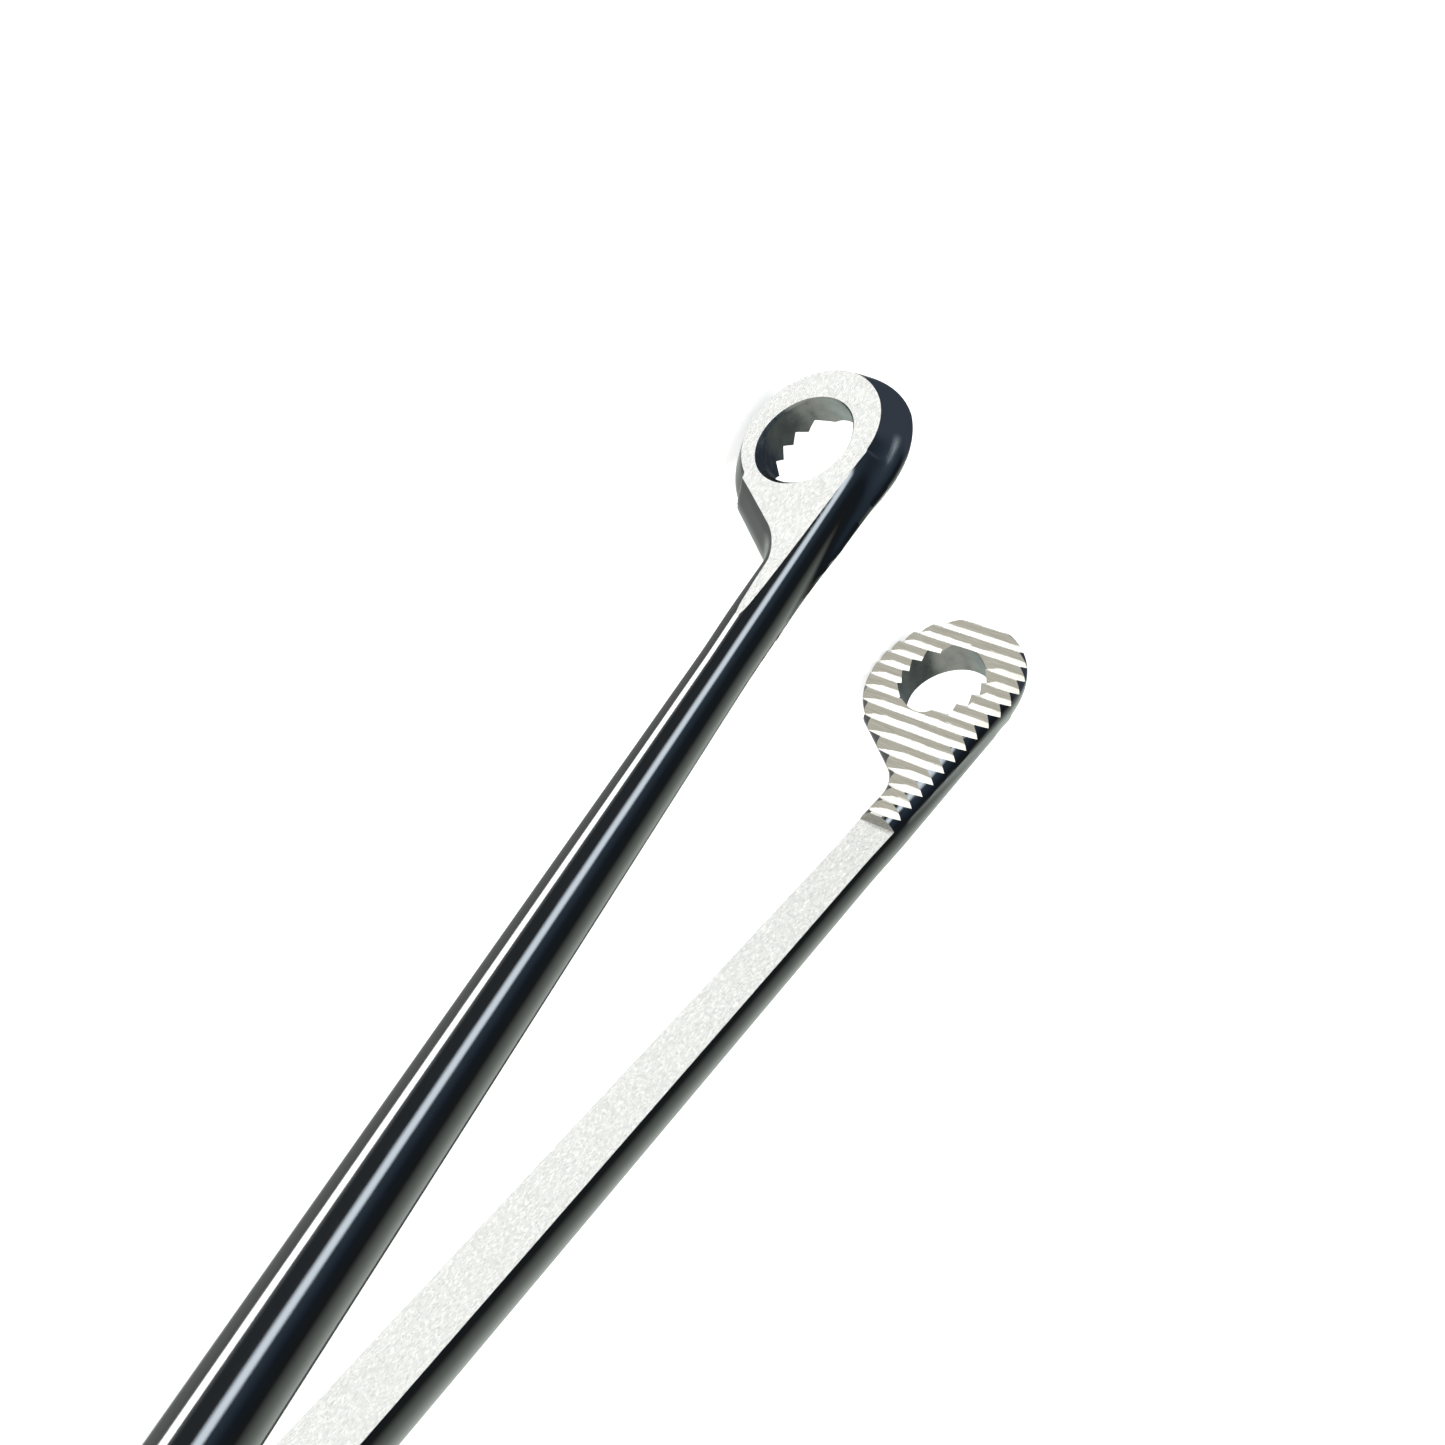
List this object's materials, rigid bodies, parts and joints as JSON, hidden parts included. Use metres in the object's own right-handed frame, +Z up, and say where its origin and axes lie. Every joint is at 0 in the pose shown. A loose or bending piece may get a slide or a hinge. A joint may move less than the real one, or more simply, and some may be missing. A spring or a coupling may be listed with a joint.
{
  "type": "ring forceps",
  "caption": "Polished steel grasping forceps: two crossed halves on a pivot screw, with serrated ring jaws at the tips and finger rings at the handles.",
  "frame": {"origin": "where the hinge axis meets the flat under face of the joint, which is also the end face of the pivot screw", "axes": "+X from the joint to the jaws along the line midway between the arms, +Z up the hinge axis, +Y towards the upper half's jaw"},
  "size_m": [0.2205, 0.09, 0.0114],
  "materials": {
    "half_steel": "mirror-polished stainless steel, with satin ground faces on the arms' inner sides and the jaws",
    "screw_steel": "fine-turned stainless steel"
  },
  "bodies": {
    "lower_half": {"lower_half": "half_steel", "pivot_screw": "screw_steel"},
    "upper_half": {"upper_half": "half_steel"}
  },
  "joints": [
    {"name": "pivot", "type": "hinge", "parent": "lower_half", "child": "upper_half", "pos_m": [0, 0, 0.0032], "axis": [0, 0, 1], "range_deg": [-15, 20]}
  ]
}
